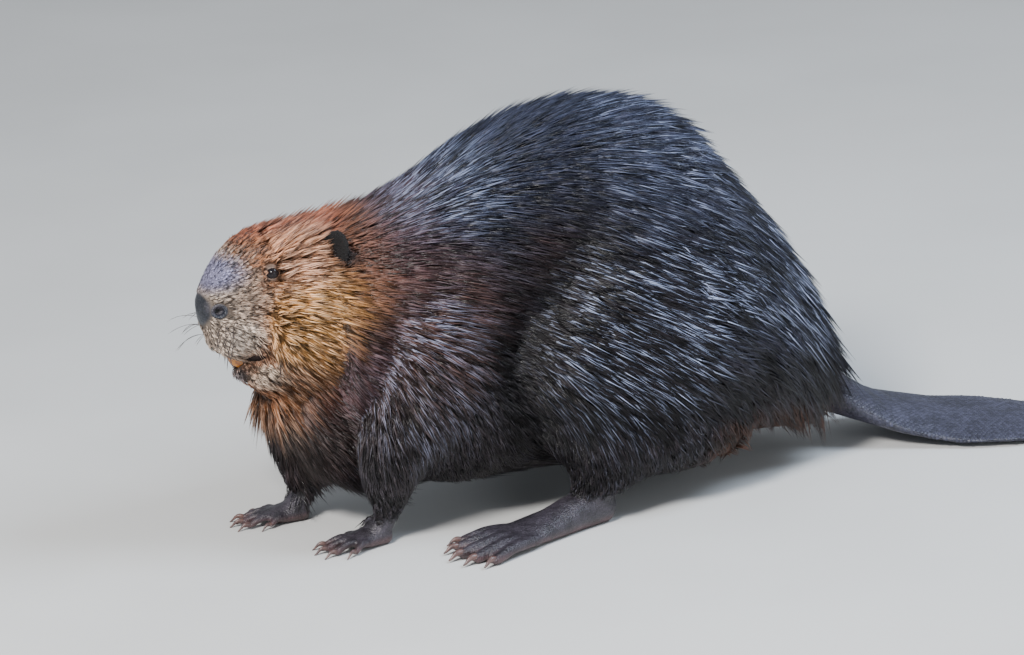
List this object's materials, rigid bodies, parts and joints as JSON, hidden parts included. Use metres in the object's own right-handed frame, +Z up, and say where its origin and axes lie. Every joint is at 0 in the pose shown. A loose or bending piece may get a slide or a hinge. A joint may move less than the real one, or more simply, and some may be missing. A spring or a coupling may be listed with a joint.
{
  "type": "beaver model",
  "caption": "Life-size still model of a beaver standing hunched on all fours, with a flat scaly tail laid along the floor behind it.",
  "frame": {"origin": "on the floor, under the middle of the bounding box", "axes": "+Z up, the head looks along -Y and the tail lies along +Y, the animal's left is +X"},
  "size_m": [0.3716, 0.908, 0.3918],
  "materials": {
    "dark_fur": "dense wet fur, near black with brown and silver-blue lights",
    "gold_fur": "short golden brown fur of the face",
    "bare_skin": "bare grey-pink skin of the feet, wet sheen",
    "tail_skin": "scaly blue-grey skin, wet sheen",
    "ear_skin": "near black, short fur",
    "eye_gloss": "glossy black",
    "tooth_enamel": "orange enamel"
  },
  "bodies": {
    "root": {"head": "gold_fur", "neck": "dark_fur", "trunk": "dark_fur", "foreleg_left": "dark_fur", "foreleg_right": "dark_fur", "hindleg_left": "dark_fur", "hindleg_right": "dark_fur", "forefoot_left": "bare_skin", "forefoot_right": "bare_skin", "hindfoot_left": "bare_skin", "hindfoot_right": "bare_skin", "tail": "tail_skin", "ear_left": "ear_skin", "ear_right": "ear_skin", "eye_left": "eye_gloss", "eye_right": "eye_gloss", "incisors": "tooth_enamel"}
  },
  "joints": []
}
